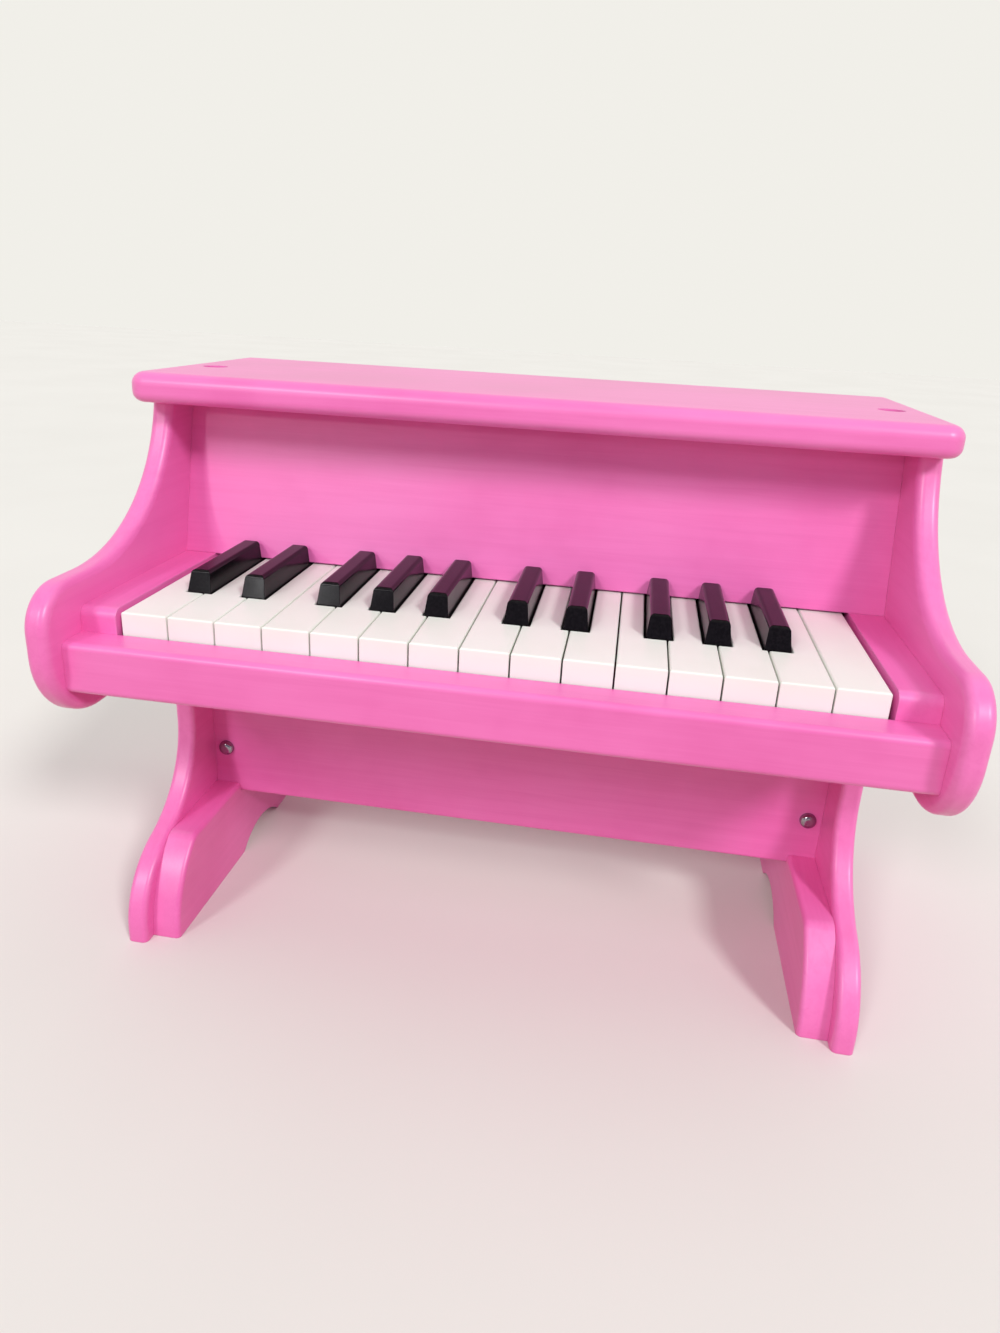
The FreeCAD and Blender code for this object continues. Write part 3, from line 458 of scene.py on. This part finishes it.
def bend_leaf(work, low, high):
    """Bow a straight leaf a little and round its tip down to a share of its width."""
    cut_in_steps(work, axis=1, low=low, high=high, step=LEAF_STEP)
    middle = (low.x + high.x) / 2
    narrowing = 1 - LEAF_TIP_WIDTH ** 2
    for vert in work.verts:
        along_leaf = (vert.co.y - low.y) / (high.y - low.y)
        vert.co.z -= LEAF_BOW * math.sin(math.pi * along_leaf)
        along_tip = max(vert.co.y - high.y + LEAF_TIP, 0) / LEAF_TIP
        vert.co.x = middle + (vert.co.x - middle) * math.sqrt(1 - narrowing * along_tip * along_tip)


def spring_leaves(node):
    """The strip of the spring comb, and each of its fingers as a slightly bowed leaf of its own, named after
    its key.
    """
    low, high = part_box(node)
    strip = [vert.co.y for vert in NODES[node].data.vertices if vert.co.z < low.z + LEAF_MARGIN]
    root = max(strip) + LEAF_MARGIN
    new_piece(half_of(node, root, keep_rear=False), "spring_strip", FINISH["steel"], node)
    fingers = islands(half_of(node, root, keep_rear=True))
    for key, (start, end) in zip(keys_in_order(len(fingers)), fingers):
        leaf = half_of(node, root, keep_rear=True)
        left = start.x - LEAF_MARGIN
        right = end.x + LEAF_MARGIN
        others = [vert for vert in leaf.verts if not left < vert.co.x < right]
        bmesh.ops.delete(leaf, geom=others, context="VERTS")
        bend_leaf(leaf, start, end)
        piece = new_piece(leaf, "spring_leaf_" + key, FINISH["steel"], node)
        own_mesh(piece)


# Screws, with the cross and the point as shares of a radius
SCREW_SHANK = 1.75 * MM
SCREW_POINT = 0.25
SCREW_HEAD = 2.4 * MM
SCREW_EASING = 0.8 * MM
SCREW_TIP = 2.5 * MM
SCREW_SIDES = 40
CROSS_ARM = 0.52
CROSS_WIDTH = 0.15
CROSS_DEPTH = 1.5 * MM
CROSS_TAPER = 0.55


def ring(work, radius, level):
    steps = [2 * math.pi * step / SCREW_SIDES for step in range(SCREW_SIDES)]
    return [work.verts.new((radius * math.cos(angle), radius * math.sin(angle), level)) for angle in steps]


def cross(work, arm, half, level):
    """The twelve corners of a cross, in order round it."""
    corner = [(arm, -half), (arm, half), (half, half)]
    spots = []
    for _ in range(4):
        spots += corner
        corner = [(-y, x) for x, y in corner]
    return [work.verts.new((x, y, level)) for x, y in spots]


def bridge(work, first, second):
    for index in range(len(first)):
        work.faces.new((first[index - 1], first[index], second[index], second[index - 1]))


def loop(work, verts):
    return [work.edges.get(pair) or work.edges.new(pair) for pair in zip(verts, verts[1:] + verts[:1])]


def screw(work, radius, length):
    """A screw down from the origin: a pointed shank, an eased head and a cross recess that tapers inward."""
    rings = [
        ring(work, SCREW_SHANK * SCREW_POINT, -length),
        ring(work, SCREW_SHANK, SCREW_TIP - length),
        ring(work, SCREW_SHANK, -SCREW_HEAD),
        ring(work, radius, -SCREW_HEAD),
        ring(work, radius, -SCREW_EASING),
        ring(work, radius - SCREW_EASING, 0),
    ]
    for lower, upper in zip(rings, rings[1:]):
        bridge(work, lower, upper)
    work.faces.new(rings[0][::-1])
    mouth = cross(work, radius * CROSS_ARM, radius * CROSS_WIDTH, 0)
    seat = cross(work, radius * CROSS_ARM * CROSS_TAPER, radius * CROSS_WIDTH * CROSS_TAPER, -CROSS_DEPTH)
    bmesh.ops.triangle_fill(work, use_beauty=True, edges=loop(work, rings[-1]) + loop(work, mouth))
    bridge(work, mouth, seat)
    work.faces.new(seat)


def cross_headed_screws(node, out, material):
    """Screws in the space of a node's solids, with a cross recess in heads that look along an axis."""
    work = bmesh.new()
    across = [index for index in range(3) if not out[index]][0]
    for low, high in islands(mesh_of(node)):
        size = high - low
        length = size.dot(out)
        before = set(work.verts)
        screw(work, size[across] / 2, length)
        top = (low + high) / 2 + out * length / 2
        turn = Matrix.Translation(top) @ out.to_track_quat("Z", "Y").to_matrix().to_4x4()
        bmesh.ops.transform(work, matrix=turn, verts=[vert for vert in work.verts if vert not in before])
    new_piece(work, node + "_cross_headed", material, node)


# Floor
FLOOR_REACH = 6.0
FLOOR_STEPS = 12


def floor():
    """A pale floor to look at, which throws up less light than it shows."""
    work = bmesh.new()
    bmesh.ops.create_grid(work, x_segments=FLOOR_STEPS, y_segments=FLOOR_STEPS, size=FLOOR_REACH)
    ground = put("floor", mesh_from(work, "floor"))
    graph = Graph("pale_floor")
    drift = graph.clouds(graph.place(), scale=3, detail=3)
    pale = graph.ramp(drift, (0.35, FLOOR_SHADE), (0.65, FLOOR_PALE))
    tone = graph.mix(graph.seen("Camera", "Glossy", "Transmission"), FLOOR_BOUNCE, pale)
    graph.surface(Base_Color=tone, Roughness=0.8, Specular_IOR_Level=0)
    ground.data.materials.append(graph.owner)


# Soft lights: to the right of the front, above the floor and spread, in degrees, then strength
LIGHTS = {
    "key_light": (42, 38, 11, 1.5),
    "side_light": (-26, 33, 11, 0.85),
    "low_light": (-22, 12, 3, 0.14),
}
# The room's bright side as a direction, and where the dim end and the bright end lie along it
ROOM_BRIGHT_SIDE = (-0.15, 0.99, 0)
ROOM_DIM_END = -0.95
ROOM_BRIGHT_END = -0.2


def soft_light(name, azimuth, height, spread, strength):
    """A light on the player's side, even over the whole floor."""
    light = bpy.data.lights.new(name, "SUN")
    light.angle = math.radians(spread)
    light.energy = strength
    holder = put(name, light)
    side = math.radians(azimuth)
    rise = math.radians(height)
    out = Vector((math.sin(side) * math.cos(rise), -math.cos(side) * math.cos(rise), math.sin(rise)))
    holder.location = out
    holder.rotation_euler = out.to_track_quat("Z", "Y").to_euler()


def world():
    """A pale room, dimmer on the player's side, and a plain background past the floor for the camera."""
    graph = Graph("studio", bpy.data.worlds)
    bpy.context.scene.world = graph.owner
    out = graph.add("ShaderNodeTexCoord").outputs["Generated"]
    toward = graph.add("ShaderNodeVectorMath", {0: out, 1: ROOM_BRIGHT_SIDE}, operation="DOT_PRODUCT")
    share = graph.spread(toward.outputs["Value"], low=0, high=1, start=ROOM_DIM_END, end=ROOM_BRIGHT_END)
    bright = graph.mix(graph.seen("Glossy", "Transmission"), ROOM_BRIGHT, BACKGROUND)
    room = graph.mix(share, ROOM_DIM, bright)
    shown = graph.mix(graph.seen("Camera"), room, BACKGROUND)
    graph.fill(graph.nodes["Background"].inputs, {"Color": shown})


# Camera, in the part's frame in metres and in the photograph's pixels
IMAGE_HEIGHT = 1333
FOCAL_PIXELS = 878.1
PRINCIPAL_ROW = 608.4
CAMERA_PLACE = Vector((0.05547, -0.44013, 0.33498))
CAMERA_RIGHT = Vector((0.9862, 0.1584, 0.0486))
CAMERA_FORWARD = Vector((-0.1337, 0.9342, -0.3307))
CAMERA_NEAR = 10 * MM
SENSOR_HEIGHT = 36


def camera():
    lens = bpy.data.cameras.new("camera")
    lens.sensor_fit = "VERTICAL"
    lens.sensor_height = SENSOR_HEIGHT
    lens.lens = SENSOR_HEIGHT * FOCAL_PIXELS / IMAGE_HEIGHT
    lens.shift_y = (PRINCIPAL_ROW - IMAGE_HEIGHT / 2) / IMAGE_HEIGHT
    lens.clip_start = CAMERA_NEAR
    holder = put("camera", lens)
    back = -CAMERA_FORWARD.normalized()
    right = (CAMERA_RIGHT - back * CAMERA_RIGHT.dot(back)).normalized()
    turn = Matrix((right, back.cross(right), back)).transposed().to_4x4()
    holder.matrix_world = Matrix.Translation(CAMERA_PLACE) @ turn
    bpy.context.scene.camera = holder


dress_nodes()
for felt_node in [name for name, slot in SLOT_OF.items() if slot == "felt"]:
    felt_strip(felt_node)
spring_leaves("spring_comb")
cross_headed_screws("lid_screws", Vector((0, 0, 1)), dusty_paint())
cross_headed_screws("back_panel_screws", Vector((0, 1, 0)), FINISH["steel"])
floor()
for light_name, aim in LIGHTS.items():
    soft_light(light_name, *aim)
world()
camera()
bpy.context.scene.view_settings.view_transform = "Standard"
